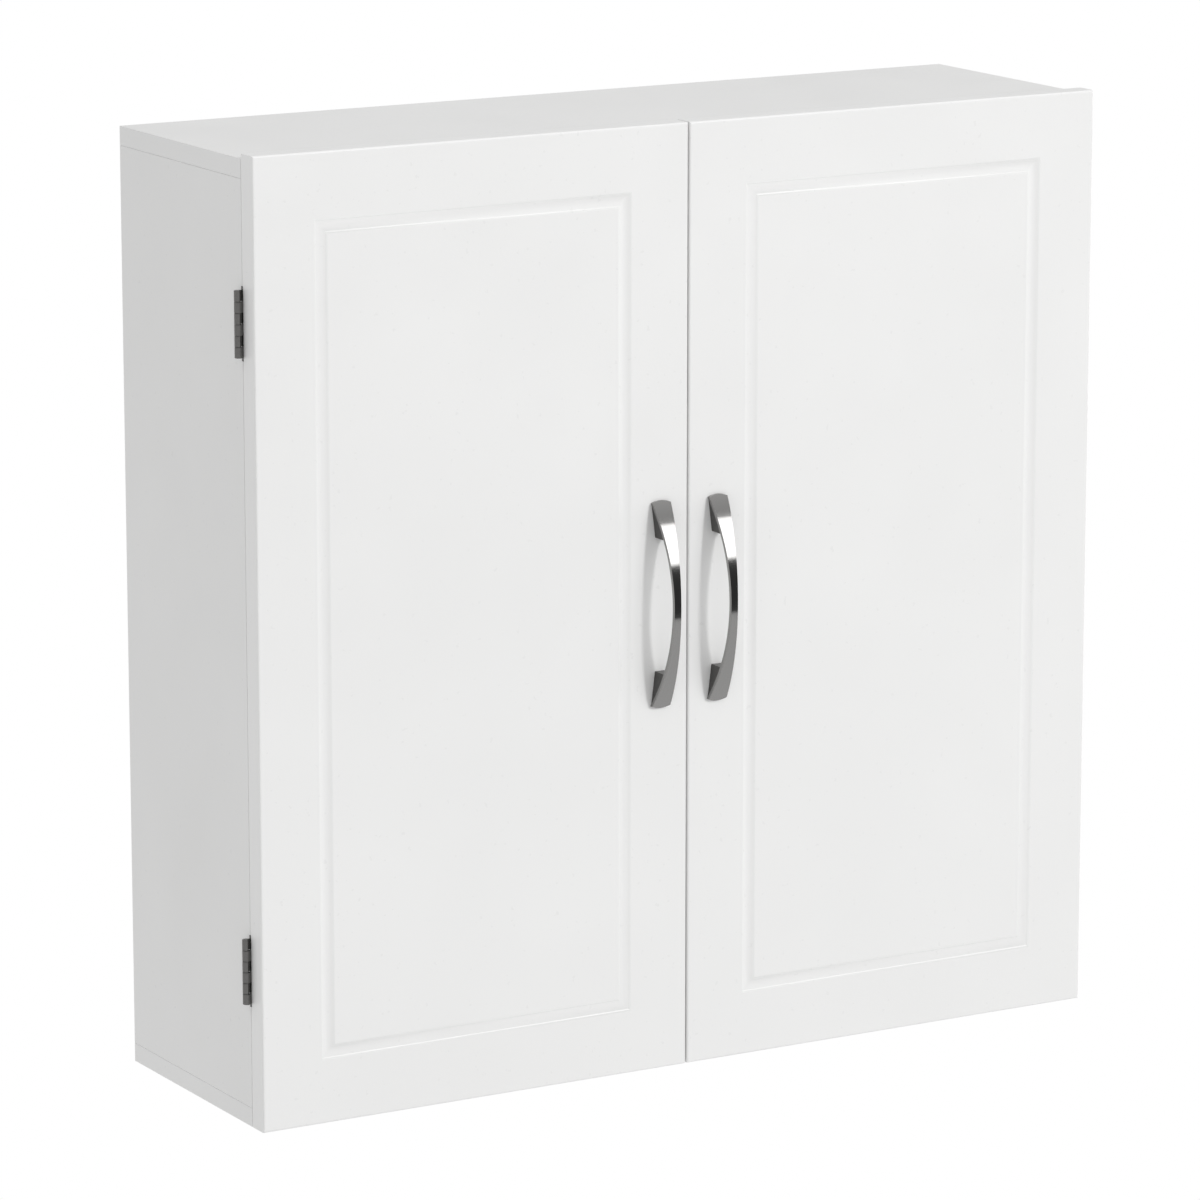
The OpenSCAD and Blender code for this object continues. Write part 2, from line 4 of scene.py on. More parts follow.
import bmesh
import bpy
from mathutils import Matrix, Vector


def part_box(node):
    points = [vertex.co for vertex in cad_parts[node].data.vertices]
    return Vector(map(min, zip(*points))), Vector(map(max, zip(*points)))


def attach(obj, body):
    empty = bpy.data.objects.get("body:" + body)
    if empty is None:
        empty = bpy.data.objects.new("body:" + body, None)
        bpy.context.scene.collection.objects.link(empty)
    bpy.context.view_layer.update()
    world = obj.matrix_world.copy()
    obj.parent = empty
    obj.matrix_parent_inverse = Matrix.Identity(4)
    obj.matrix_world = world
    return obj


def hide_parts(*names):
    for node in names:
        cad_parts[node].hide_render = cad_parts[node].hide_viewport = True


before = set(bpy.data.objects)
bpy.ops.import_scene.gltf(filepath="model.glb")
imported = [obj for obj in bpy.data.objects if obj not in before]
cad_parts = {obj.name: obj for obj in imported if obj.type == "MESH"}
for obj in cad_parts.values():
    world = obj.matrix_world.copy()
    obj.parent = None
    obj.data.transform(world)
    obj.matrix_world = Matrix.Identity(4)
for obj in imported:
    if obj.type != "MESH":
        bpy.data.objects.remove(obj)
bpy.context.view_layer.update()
bpy.ops.object.select_all(action="DESELECT")


# ---- Top and bottom panels ----
# 12 mm fibreboard, faced with white foil and edged on all four sides. Both run the full width, over
# and under the side panels, and cam bolts and dowels hold them there.
def add(tree, kind, inputs=None, **settings):
    """Adds a node. Its inputs are numbers, or the sockets that feed them."""
    made = tree.nodes.new("ShaderNode" + kind)
    for name, value in settings.items():
        setattr(made, name, value)
    for name, value in (inputs or {}).items():
        if isinstance(value, bpy.types.NodeSocket):
            tree.links.new(value, made.inputs[name])
        else:
            made.inputs[name].default_value = value
    return made


def new_finish(name, **constants):
    """A material with its even shader values set, and the place on the piece that patterns read."""
    material = bpy.data.materials.new(name)
    material.use_nodes = True
    tree = material.node_tree
    shader = tree.nodes["Principled BSDF"]
    for key, value in constants.items():
        shader.inputs[key.replace("_", " ")].default_value = value
    return material, tree, shader, add(tree, "TexCoord").outputs["Object"]


def stretched(tree, place, stretch):
    """The place with each axis scaled, for patterns that run one way."""
    return add(tree, "Mapping", {"Vector": place, "Scale": stretch}).outputs["Vector"]


def cloudy(tree, place, scale, low=0.0, high=1.0, detail=2.0):
    """Soft noise with patches about 1/scale across, as a value from low to high."""
    noise = add(tree, "TexNoise", {"Vector": place, "Scale": scale, "Detail": detail})
    spread = {"Value": noise.outputs["Fac"], "From Min": 0.3, "From Max": 0.7}
    return add(tree, "MapRange", {**spread, "To Min": low, "To Max": high}).outputs["Result"]


def tinted(tree, share, first, second):
    """A colour between two, each a socket or three numbers."""
    ends = [c if isinstance(c, bpy.types.NodeSocket) else (*c, 1.0) for c in (first, second)]
    return add(tree, "Mix", {0: share, 6: ends[0], 7: ends[1]}, data_type="RGBA").outputs[2]


def coloured(tree, shader, share, first, second):
    """Gives the shader a colour between two."""
    tree.links.new(tinted(tree, share, first, second), shader.inputs["Base Color"])


def worked(tree, shader, height, distance):
    """Gives the shader a relief of that height."""
    relief = add(tree, "Bump", {"Height": height, "Distance": distance, "Strength": 1.0})
    tree.links.new(relief.outputs["Normal"], shader.inputs["Normal"])


def white_foil(name, light, dark, roughness, peel):
    """Smooth white foil: a faint mottle, a fine orange peel and a little change in its gloss."""
    made, tree, shader, place = new_finish(name, Specular_IOR_Level=0.45)
    mottle = cloudy(tree, place, 9.0)
    fine = cloudy(tree, place, 260.0, detail=3.0)
    shade = tinted(tree, mottle, light, dark)
    nibs = add(tree, "Math", {0: fine, 1: 0.985}, operation="GREATER_THAN").outputs[0]
    coloured(tree, shader, nibs, shade, [0.97 * c for c in dark])
    gloss = cloudy(tree, place, 22.0, roughness - 0.04, roughness + 0.05)
    tree.links.new(gloss, shader.inputs["Roughness"])
    worked(tree, shader, cloudy(tree, place, 720.0, detail=1.0), peel)
    return made


def raw_fibreboard():
    """The brown board that shows in every bore and groove: fine felted fibres, dull all over."""
    made, tree, shader, place = new_finish("raw_fibreboard", Roughness=0.9, Specular_IOR_Level=0.2)
    fibres = cloudy(tree, stretched(tree, place, (1.0, 1.0, 4.0)), 900.0, detail=4.0)
    coloured(tree, shader, fibres, (0.36, 0.25, 0.15), (0.23, 0.15, 0.09))
    worked(tree, shader, fibres, 0.00006)
    return made


def choose(piece, test):
    """Selects the faces that pass the test and leaves the piece in edit mode."""
    bpy.context.view_layer.objects.active = piece
    bpy.ops.object.mode_set(mode="EDIT")
    bpy.ops.mesh.select_mode(type="FACE")
    bpy.ops.mesh.select_all(action="DESELECT")
    shell = bmesh.from_edit_mesh(piece.data)
    for face in shell.faces:
        face.select = bool(test(face))
    shell.select_flush_mode()
    bmesh.update_edit_mesh(piece.data)


def choose_edges(piece, test):
    """Selects the edges that pass the test, given their middle and direction."""
    bpy.context.view_layer.objects.active = piece
    bpy.ops.object.mode_set(mode="EDIT")
    bpy.ops.mesh.select_mode(type="EDGE")
    bpy.ops.mesh.select_all(action="DESELECT")
    shell = bmesh.from_edit_mesh(piece.data)
    for edge in shell.edges:
        start, end = (corner.co for corner in edge.verts)
        edge.select = bool(test((start + end) / 2, (end - start).normalized()))
    shell.select_flush_mode()
    bmesh.update_edit_mesh(piece.data)


def done_editing():
    bpy.ops.object.mode_set(mode="OBJECT")
    bpy.ops.object.select_all(action="DESELECT")


def block(name, low, high):
    """A square-edged block between two corners."""
    bpy.ops.object.select_all(action="DESELECT")
    bpy.ops.mesh.primitive_cube_add(size=1, location=(low + high) / 2)
    made = bpy.context.object
    made.name = name
    made.scale = high - low
    bpy.ops.object.transform_apply(location=True, rotation=True, scale=True)
    return made


def bar(name, start, along, length, diameter, sides=32):
    """A round bar from its start point along X, Y or Z."""
    way = Vector([axis == along for axis in "XYZ"])
    turn = {"X": (0, math.pi / 2, 0), "Y": (-math.pi / 2, 0, 0), "Z": (0, 0, 0)}[along]
    bpy.ops.object.select_all(action="DESELECT")
    bpy.ops.mesh.primitive_cylinder_add(
        vertices=sides, radius=diameter / 2, depth=length,
        location=Vector(start) + way * length / 2, rotation=turn)
    made = bpy.context.object
    made.name = name
    bpy.ops.object.transform_apply(location=True, rotation=True, scale=True)
    return made


def apply(piece, modifier):
    bpy.ops.object.select_all(action="DESELECT")
    piece.select_set(True)
    bpy.context.view_layer.objects.active = piece
    bpy.ops.object.modifier_apply(modifier=modifier.name)


def ease(piece, width, steps=3, sharper_than=40):
    """Rounds every sharp edge."""
    rounding = piece.modifiers.new("rounding", "BEVEL")
    rounding.width = width
    rounding.segments = steps
    rounding.limit_method = "ANGLE"
    rounding.angle_limit = math.radians(sharper_than)
    apply(piece, rounding)


def combine(piece, other, way):
    """Cuts the other piece out of this one, or joins it on, and removes the other."""
    joint = piece.modifiers.new(way.lower(), "BOOLEAN")
    joint.operation = way
    joint.solver = "EXACT"
    joint.material_mode = "TRANSFER"
    joint.object = other
    apply(piece, joint)
    bpy.data.objects.remove(other)


def solids_in(node):
    """The box of each separate solid in a node that holds several."""
    shell = bmesh.new()
    shell.from_mesh(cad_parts[node].data)
    bmesh.ops.remove_doubles(shell, verts=shell.verts, dist=1e-6)
    waiting, boxes = set(shell.verts), []
    while waiting:
        found = [waiting.pop()]
        for corner in found:
            near = {edge.other_vert(corner) for edge in corner.link_edges} & waiting
            waiting -= near
            found.extend(near)
        spans = [[corner.co[axis] for corner in found] for axis in range(3)]
        boxes.append((Vector([min(s) for s in spans]), Vector([max(s) for s in spans])))
    shell.free()
    return sorted(boxes, key=lambda box: tuple(round(c, 5) for c in box[0]))


def meet(first, second):
    """Whether two boxes share space."""
    return all(first[0][a] < second[1][a] and second[0][a] < first[1][a] for a in range(3))


def bore(piece, node, lining, play=0.0001, past=0.0003, diameter=None):
    """Drills the piece for each round fastener of the node that reaches into it."""
    room = (Vector(piece.bound_box[0]), Vector(piece.bound_box[6]))
    for low, high in solids_in(node):
        if not meet(room, (low, high)):
            continue
        size = high - low
        along = min(range(3), key=lambda a: abs(size[a - 1] - size[a - 2]))
        start = (low + high) / 2
        start[along] = low[along] - past
        wide = diameter or size[along - 1] + play
        drill = bar("drill", start, "XYZ"[along], size[along] + 2 * past, wide)
        drill.data.materials.append(lining)
        combine(piece, drill, "DIFFERENCE")


def hand_over(piece, body, slot, *nodes, smooth_below=38):
    """Turns the faces outwards, evens the shading and sets the piece on its body."""
    choose(piece, lambda face: True)
    bpy.ops.mesh.normals_make_consistent(inside=False)
    done_editing()
    piece.select_set(True)
    bpy.context.view_layer.objects.active = piece
    bpy.ops.object.shade_smooth_by_angle(angle=math.radians(smooth_below))
    flats = piece.modifiers.new("flats", "WEIGHTED_NORMAL")
    flats.keep_sharp = True
    flats.weight = 100
    apply(piece, flats)
    bpy.ops.object.select_all(action="DESELECT")
    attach(piece, body)
    if nodes:
        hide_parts(*nodes)


board_white = white_foil("board_white", (0.81, 0.81, 0.805), (0.79, 0.79, 0.785), 0.42, 0.000012)
inside_board = raw_fibreboard()
board_arris = 0.0004          # how far the foil rounds each edge of a board
back_groove_play = 0.0001
catch_pilot_d = 0.0029
catch_pilot_past = 0.0002


def board(name, node, fasteners):
    """A foiled board with its arrises eased, the back panel's groove cut and its fixings bored."""
    low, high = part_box(node)
    made = block(name, low, high)
    made.data.materials.append(board_white)
    ease(made, board_arris)
    back_low, back_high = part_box("back_panel")
    play = Vector((1, 1, 1)) * back_groove_play
    if meet((low, high), (back_low, back_high)):
        slot = block("slot", back_low - play, back_high + play)
        slot.data.materials.append(inside_board)
        combine(made, slot, "DIFFERENCE")
    for fastener in fasteners:
        bore(made, fastener, inside_board)
    return made


top = board("top_board", "top_panel", ["cam_bolts", "dowels"])
bore(top, "catch_screws", inside_board, diameter=catch_pilot_d, past=catch_pilot_past)
hand_over(top, "carcass", "white_lacquer", "top_panel")
bottom = board("bottom_board", "bottom_panel", ["cam_bolts", "dowels"])
hand_over(bottom, "carcass", "white_lacquer", "bottom_panel")


# ---- Side panels ----
# The same foiled board, cut to stand between the top and bottom. Each is drilled for its cams, for the
# hanging rail and for shelf pins at three heights, and its front edge is let in for two hinge leaves.
shelf_hole_step = 0.064
shelf_hole_deep = 0.009
shelf_hole_past = 0.001
shelf_hole_play = 0.0001
shelf_pin_d = 0.005
shelf_pin_collar = 0.008
leaf_t = 0.001
leaf_screw_d = 0.0026
pocket_play = 0.00015


def let_in(wood, leaf, inwards):
    """Cuts the shallow pocket that a hinge leaf lies in. inwards is the way along Y into the wood,
    +1 or -1."""
    low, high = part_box(leaf)
    faces = [Vector(wood.bound_box[0]).y, Vector(wood.bound_box[6]).y]
    face = faces[0] if inwards > 0 else faces[1]
    edges = sorted([face - inwards * pocket_play, face + inwards * leaf_t])
    first = Vector((low.x - pocket_play, edges[0], low.z - pocket_play))
    last = Vector((high.x + pocket_play, edges[1], high.z + pocket_play))
    pocket = block("pocket", first, last)
    pocket.data.materials.append(inside_board)
    combine(wood, pocket, "DIFFERENCE")


for side, facing in (("left", -1), ("right", 1)):
    wall = board(side + "_side_board", side + "_side_panel", ["cam_locks", "cam_bolts", "dowels"])
    for low, high in solids_in("shelf_pins"):
        if low.x * facing < 0:
            continue
        far_x = max(abs(low.x), abs(high.x)) + shelf_hole_past
        start_x = -far_x if facing < 0 else far_x - shelf_hole_deep
        for step in (-1, 0, 1):
            start = (start_x, (low.y + high.y) / 2, low.z + shelf_pin_collar / 2 + step * shelf_hole_step)
            hole = bar("hole", start, "X", shelf_hole_deep, shelf_pin_d + shelf_hole_play)
            hole.data.materials.append(inside_board)
            combine(wall, hole, "DIFFERENCE")
    for level in ("upper", "lower"):
        let_in(wall, f"{side}_{level}_hinge_frame_leaf", 1)
    bore(wall, "frame_hinge_screws", inside_board, diameter=leaf_screw_d)
    hand_over(wall, "carcass", "white_lacquer", side + "_side_panel")


# ---- Back panel ----
# 3 mm hardboard slid into grooves all round: painted white inside, bare and brown towards the wall,
# with the mesh of the press on that side. Two holes let the wall screws through.
def bare_hardboard():
    made, tree, shader, place = new_finish("bare_hardboard", Roughness=0.85, Specular_IOR_Level=0.25)
    fibres = cloudy(tree, place, 700.0, detail=5.0)
    patches = cloudy(tree, place, 14.0)
    brown = tinted(tree, patches, (0.30, 0.19, 0.10), (0.24, 0.15, 0.08))
    coloured(tree, shader, fibres, brown, (0.17, 0.10, 0.055))
    mesh_print = add(tree, "TexChecker", {"Vector": place, "Scale": 900.0})
    relief = add(tree, "Math", {0: mesh_print.outputs["Fac"], 1: fibres}, operation="ADD").outputs[0]
    worked(tree, shader, relief, 0.00005)
    return made


wall_hole_span = 0.4
wall_hole_d = 0.006
sheet_hole_play = 0.001
sheet_arris = 0.0002
clear = 0.001                 # how far a cutter runs past what it cuts
back_low, back_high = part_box("back_panel")
back = block("back_sheet", back_low, back_high)
back.data.materials.append(bare_hardboard())
back.data.materials.append(white_foil(
    "painted_hardboard", (0.80, 0.80, 0.79), (0.77, 0.77, 0.765), 0.55, 0.00003))
ease(back, sheet_arris, steps=2)
for face in back.data.polygons:
    face.material_index = 1 if face.normal.y < -0.9 else 0
through = back_high.y - back_low.y + 2 * clear
for hole_x in (-wall_hole_span / 2, wall_hole_span / 2):
    hole = bar("hole", (hole_x, back_low.y - clear, 0), "Y", through, wall_hole_d + sheet_hole_play)
    hole.data.materials.append(back.data.materials[0])
    combine(back, hole, "DIFFERENCE")
hand_over(back, "carcass", "hardboard", "back_panel")


# ---- Hanging rail ----
# A planed softwood batten behind the back panel, held to both side panels by cam bolts and dowels.
# The two wall screws pass through it and carry the cabinet.
def planed_pine():
    made, tree, shader, place = new_finish("planed_pine", Roughness=0.6, Specular_IOR_Level=0.35)
    wander = cloudy(tree, stretched(tree, place, (2.0, 40.0, 40.0)), 1.0, 0.0, 0.02, detail=3.0)
    shifted = add(tree, "VectorMath", {0: place, 1: wander}, operation="ADD").outputs[0]
    rings = add(tree, "TexWave", {
        "Vector": stretched(tree, shifted, (0.6, 6.0, 10.0)), "Scale": 9.0, "Distortion": 3.0,
        "Detail": 3.0, "Detail Scale": 1.5}, bands_direction="Z").outputs["Fac"]
    grain = cloudy(tree, stretched(tree, place, (12.0, 500.0, 500.0)), 1.0, detail=4.0)
    wood = tinted(tree, rings, (0.70, 0.52, 0.33), (0.55, 0.37, 0.20))
    pores = add(tree, "Math", {0: grain, 1: 0.35}, operation="MULTIPLY").outputs[0]
    coloured(tree, shader, pores, wood, (0.42, 0.27, 0.14))
    worked(tree, shader, grain, 0.00008)
    return made


rail_arris = 0.0008
rail_low, rail_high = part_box("hanging_rail")
rail = block("rail_batten", rail_low, rail_high)
pine = planed_pine()
rail.data.materials.append(pine)
ease(rail, rail_arris)
through = rail_high.y - rail_low.y + 2 * clear
for hole_x in (-wall_hole_span / 2, wall_hole_span / 2):
    hole = bar("hole", (hole_x, rail_low.y - clear, 0), "Y", through, wall_hole_d)
    hole.data.materials.append(pine)
    combine(rail, hole, "DIFFERENCE")
for fastener in ("cam_locks", "cam_bolts", "dowels"):
    bore(rail, fastener, pine)
hand_over(rail, "carcass", "bare_board", "hanging_rail")


# ---- Shelf ----
# One loose board of the same fibreboard and foil, edged on all four sides. It rests on four pins and
# lifts out by hand.
shelf = board("shelf_board", "shelf", [])
hand_over(shelf, "carcass", "white_lacquer", "shelf")


# ---- Shelf pins ----
# Pressed and zinc plated steel: a round stub for the side panel, a collar and a flat tongue under the
# shelf. Pushed in by hand.
def plated_zinc():
    """Bright zinc with its faint crystal patches and a slight blue cast."""
    made, tree, shader, place = new_finish("plated_zinc", Metallic=1.0)
    crystals = add(tree, "TexVoronoi", {"Vector": place, "Scale": 1400.0}).outputs["Color"]
    patch = add(tree, "SeparateColor", {"Color": crystals}).outputs[0]
    coloured(tree, shader, patch, (0.66, 0.68, 0.71), (0.58, 0.60, 0.63))
    tree.links.new(cloudy(tree, place, 500.0, 0.26, 0.42), shader.inputs["Roughness"])
    worked(tree, shader, cloudy(tree, place, 2200.0), 0.000012)
    return made


zinc = plated_zinc()
stub_len = 0.008
stub_past = 0.003
collar_t = 0.0008
tongue_t = 0.002
tongue_from = 0.0002
tongue_to = 0.009
spare_len = 0.02
pressed_edge = 0.00015


def from_wall(face_x, inward, near, far):
    """Two distances into the cabinet from the side panel's face, as X in rising order."""
    return sorted([face_x + inward * near, face_x + inward * far])


for number, (low, high) in enumerate(solids_in("shelf_pins"), 1):
    inward = 1 if low.x < 0 else -1
    face_x = -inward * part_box("right_side_panel")[0].x
    middle_y, axis_z = (low.y + high.y) / 2, low.z + shelf_pin_collar / 2
    start, end = from_wall(face_x, inward, -stub_len, stub_past)
    pin = bar(f"shelf_pin_{number}", (start, middle_y, axis_z), "X", end - start, shelf_pin_d)
    start, end = from_wall(face_x, inward, 0, collar_t)
    combine(pin, bar("collar", (start, middle_y, axis_z), "X", end - start, shelf_pin_collar), "UNION")
    start, end = from_wall(face_x, inward, tongue_from, tongue_to)
    tongue = block("tongue", Vector((start, low.y, axis_z)), Vector((end, high.y, axis_z + tongue_t)))
    combine(pin, tongue, "UNION")
    start, end = from_wall(face_x, inward, 0, spare_len)
    spare = block("spare", Vector((start, low.y - clear, axis_z + tongue_t)),
                  Vector((end, high.y + clear, axis_z + shelf_pin_collar)))
    combine(pin, spare, "DIFFERENCE")
    pin.data.materials.clear()
    pin.data.materials.append(zinc)
    ease(pin, pressed_edge, steps=2)
    hand_over(pin, "carcass", "zinc_plate", "shelf_pins")


# ---- Cam fixings and dowels ----
# Die-cast cam locks turn on steel bolts and pull each corner and each rail end tight. Fluted beech
# dowels beside them keep the boards in line. Pressed in or screwed in before the boards close on them.
def cast_zinc():
    """Zinc as it leaves the mould: greyer and duller than plate, with a grainy skin."""
    made, tree, shader, place = new_finish("cast_zinc", Metallic=1.0)
    skin = cloudy(tree, place, 900.0, detail=4.0)
    coloured(tree, shader, skin, (0.50, 0.50, 0.51), (0.38, 0.38, 0.39))
    tree.links.new(cloudy(tree, place, 300.0, 0.42, 0.6), shader.inputs["Roughness"])
    worked(tree, shader, skin, 0.00003)
    return made


def turned_beech():
    made, tree, shader, place = new_finish("turned_beech", Roughness=0.65, Specular_IOR_Level=0.3)
    flecks = cloudy(tree, stretched(tree, place, (500.0, 1600.0, 160.0)), 1.0, detail=3.0)
    coloured(tree, shader, flecks, (0.66, 0.47, 0.30), (0.50, 0.32, 0.18))
    worked(tree, shader, flecks, 0.00006)
    return made


def refinish(node, material):
    """Gives a CAD part that is kept as it is its real surface."""
    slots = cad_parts[node].data.materials
    slots.clear()
    slots.append(material)


refinish("cam_locks", cast_zinc())
refinish("cam_bolts", zinc)
refinish("dowels", turned_beech())


# ---- Cam caps ----
# Moulded white plastic discs, a millimetre thick, with a rounded rim and a shallow dish. Each has a
# short peg and is pressed over a cam in a side panel.
def moulded_plastic(name, light, dark, roughness):
    """Smooth moulded plastic: an even colour with slight flow marks and a satin skin."""
    made, tree, shader, place = new_finish(name, Specular_IOR_Level=0.5)
    flow = cloudy(tree, stretched(tree, place, (60.0, 200.0, 90.0)), 1.0, detail=3.0)
    coloured(tree, shader, flow, light, dark)
    satin = cloudy(tree, place, 240.0, roughness - 0.05, roughness + 0.06)
    tree.links.new(satin, shader.inputs["Roughness"])
    worked(tree, shader, cloudy(tree, place, 1500.0, detail=3.0), 0.000015)
    return made


white_plastic = moulded_plastic("white_plastic", (0.80, 0.80, 0.79), (0.76, 0.76, 0.75), 0.36)
cap_t = 0.001
cap_rim = 0.0006
dish_in = 0.0022
dish_slope = 0.0008
dish_deep = 0.00015
peg_d = 0.004
peg_len = 0.002
peg_deep = 0.0018
for number, (low, high) in enumerate(solids_in("cam_caps"), 1):
    inward = 1 if low.x < 0 else -1
    face_x = -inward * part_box("right_side_panel")[0].x
    middle_y, middle_z = (low.y + high.y) / 2, (low.z + high.z) / 2
    start_x = min(face_x, face_x + inward * cap_t)
    cap = bar(f"cam_cap_{number}", (start_x, middle_y, middle_z), "X", cap_t, high.y - low.y, sides=64)
    choose(cap, lambda face: face.normal.x * inward > 0.9)
    bpy.ops.mesh.bevel(offset=cap_rim, segments=4, affect="EDGES")
    done_editing()
    choose(cap, lambda face: face.normal.x * inward > 0.99 and len(face.verts) > 12)
    bpy.ops.mesh.inset(thickness=dish_in, depth=0)
    bpy.ops.mesh.inset(thickness=dish_slope, depth=-dish_deep)
    done_editing()
    peg_x = min(face_x, face_x - inward * peg_deep)
    combine(cap, bar("peg", (peg_x, middle_y, middle_z), "X", peg_len, peg_d, sides=24), "UNION")
    cap.data.materials.clear()
    cap.data.materials.append(white_plastic)
    hand_over(cap, "carcass", "white_plastic", "cam_caps")


# ---- Magnetic catches ----
# One under the top panel behind each door: a moulded housing with slotted ears, a ferrite magnet
# between two steel pole plates, and two pan-headed screws up into the board.
def ferrite():
    made, tree, shader, place = new_finish("ferrite", Roughness=0.7, Specular_IOR_Level=0.4)
    grit = cloudy(tree, place, 1600.0, detail=5.0)
    coloured(tree, shader, grit, (0.055, 0.053, 0.052), (0.025, 0.024, 0.024))
    worked(tree, shader, grit, 0.00008)
    return made


def turned_screw(name, seat, way, length, thread_d, head, material, slot_w):
    """A cross-head screw pointing along way, the seat of its head at a point.
    head is its profile from the top down: radius, and height above the seat."""
    top, head_r = head[0][1], head[0][0]
    core, crest = 0.39 * thread_d, 0.5 * thread_d
    pitch = 0.42 * thread_d
    first, last = 0.0002 - head[-1][1], length - thread_d
    ridges = range(int(2 * (last - first) / pitch))
    rows = [(crest if ridge % 2 else core, first + ridge * pitch / 2) for ridge in ridges]
    rows = [(radius, -height) for radius, height in head[1:]] + rows
    rows += [(core, last), (core * 0.2, length)]
    bpy.ops.object.select_all(action="DESELECT")
    bpy.ops.mesh.primitive_circle_add(vertices=24, radius=head_r, fill_type="NGON")
    made = bpy.context.object
    made.name = name
    bpy.ops.object.mode_set(mode="EDIT")
    bpy.ops.mesh.select_all(action="SELECT")
    wide, deep = head_r, -top
    for radius, depth in rows:
        bpy.ops.mesh.extrude_region_move(TRANSFORM_OT_translate={"value": (0, 0, deep - depth)})
        grow = radius / wide
        bpy.ops.transform.resize(value=(grow, grow, 1), center_override=(0, 0, -depth - top))
        wide, deep = radius, depth
    done_editing()
    for turn in (0, math.pi / 2):
        bpy.ops.mesh.primitive_cube_add(size=1, rotation=(0, 0, turn))
        wing = bpy.context.object
        wing.scale = (slot_w, slot_w / 4.5, slot_w * 0.7)
        bpy.ops.object.transform_apply(location=True, rotation=True, scale=True)
        combine(made, wing, "DIFFERENCE")
    made.data.materials.clear()
    made.data.materials.append(material)
    bpy.ops.object.select_all(action="DESELECT")
    made.select_set(True)
    made.rotation_euler = Vector(way).to_track_quat("-Z", "Y").to_euler()
    made.location = Vector(seat) - Vector(way) * top
    bpy.ops.object.transform_apply(location=True, rotation=True, scale=True)
    return made


def copy_to(piece, name, shift):
    """A copy of a finished piece, with its own mesh, moved by shift."""
    bpy.ops.object.select_all(action="DESELECT")
    piece.select_set(True)
    bpy.context.view_layer.objects.active = piece
    bpy.ops.object.duplicate()
    made = bpy.context.object
    made.name = name
    made.location = shift
    bpy.ops.object.transform_apply(location=True, rotation=True, scale=True)
    return made


def screw_row(names, node, body, way, slot, length, head, **sizes):
    """One screw for each solid of a node, turned once and copied. way is along one axis."""
    boxes = solids_in(node)
    start = boxes[0][0]
    widest = max(radius for radius, height in head)
    to_seat = {0: widest, 1: head[0][1], -1: length}
    seat = start + Vector([to_seat[step] for step in way])
    first = turned_screw(names + "_1", seat, way, length=length, head=head, **sizes)
    row = [first]
    for number, (low, high) in enumerate(boxes[1:], 2):
        row.append(copy_to(first, f"{names}_{number}", low - start))
    for screw in row:
        hand_over(screw, body, slot, node)


magnet_black = ferrite()
ear_w = 0.009
ear_t = 0.003
ear_slot_w = 0.0034
ear_slot_shift = 0.0015
case_edge = 0.0007
ear_edge = 0.0004
magnet_edge = 0.0003
pole_edge = 0.0002
well_play = 0.00005
pan_head = [(0.0020, 0.0020), (0.0026, 0.0014), (0.0028, 0.0007), (0.0028, 0.0)]
catch_screws = solids_in("catch_screws")
for side in ("left", "right"):
    low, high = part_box(side + "_catch_housing")
    inset = Vector((ear_w, 0, 0))
    housing = block(side + "_catch_case", low + inset, high - inset)
    ease(housing, case_edge)
    ears = block("ears", Vector((low.x, low.y, high.z - ear_t)), high)
    ease(ears, ear_edge)
    combine(housing, ears, "UNION")
    pole_boxes = solids_in(side + "_catch_poles")
    poles_low, poles_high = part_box(side + "_catch_poles")
    well_low = Vector((poles_low.x - well_play, low.y - clear, poles_low.z - well_play))
    well_high = poles_high + Vector((1, 1, 1)) * well_play
    combine(housing, block("well", well_low, well_high), "DIFFERENCE")
    for screw_low, screw_high in catch_screws:
        if not meet((low, high), (screw_low, screw_high)):
            continue
        x, y = (screw_low.x + screw_high.x) / 2, (screw_low.y + screw_high.y) / 2
        reach = Vector((ear_slot_w / 2, ear_slot_shift, ear_t / 2 + clear))
        middle = Vector((x, y, high.z - ear_t / 2))
        combine(housing, block("slot", middle - reach, middle + reach), "DIFFERENCE")
        for shift in (-ear_slot_shift, ear_slot_shift):
            end_at = (x, y + shift, high.z - ear_t - clear)
            combine(housing, bar("end", end_at, "Z", ear_t + 2 * clear, ear_slot_w), "DIFFERENCE")
    housing.data.materials.clear()
    housing.data.materials.append(white_plastic)
    hand_over(housing, "carcass", "white_plastic", side + "_catch_housing")
    magnet = block(side + "_catch_ferrite", *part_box(side + "_catch_magnet"))
    magnet.data.materials.append(magnet_black)
    ease(magnet, magnet_edge)
    hand_over(magnet, "carcass", "ferrite", side + "_catch_magnet")
    for number, (pole_low, pole_high) in enumerate(pole_boxes, 1):
        pole = block(f"{side}_catch_pole_{number}", pole_low, pole_high)
        pole.data.materials.append(zinc)
        ease(pole, pole_edge)
        hand_over(pole, "carcass", "zinc_plate", side + "_catch_poles")
screw_row(
    "catch_screw", "catch_screws", "carcass", (0, 0, 1), "zinc_plate",
    length=0.011, thread_d=0.0028, head=pan_head, material=zinc, slot_w=0.0028)


# ---- Doors ----
# 15 mm fibreboard with one rectangle routed in the face, its edges rounded over, and a white foil
# drawn over face and edges in a vacuum press, so that the groove's shoulders are soft.
door_white = white_foil("door_white", (0.83, 0.83, 0.825), (0.815, 0.815, 0.81), 0.34, 0.00001)
face_edge_r = 0.0015
back_edge_r = 0.0003
groove_in = 0.040
groove_w = 0.010
groove_deep = 0.0018
groove_steps = 20
leaf_pilot_d = leaf_screw_d + 0.0001
handle_hole_d = 0.0045
strike_hole_d = 0.0031


def sunk(share):
    """Depth of the groove at a share of its width: a cove with soft shoulders."""
    return groove_deep * (1 - (2 * share - 1) ** 2) ** 1.5


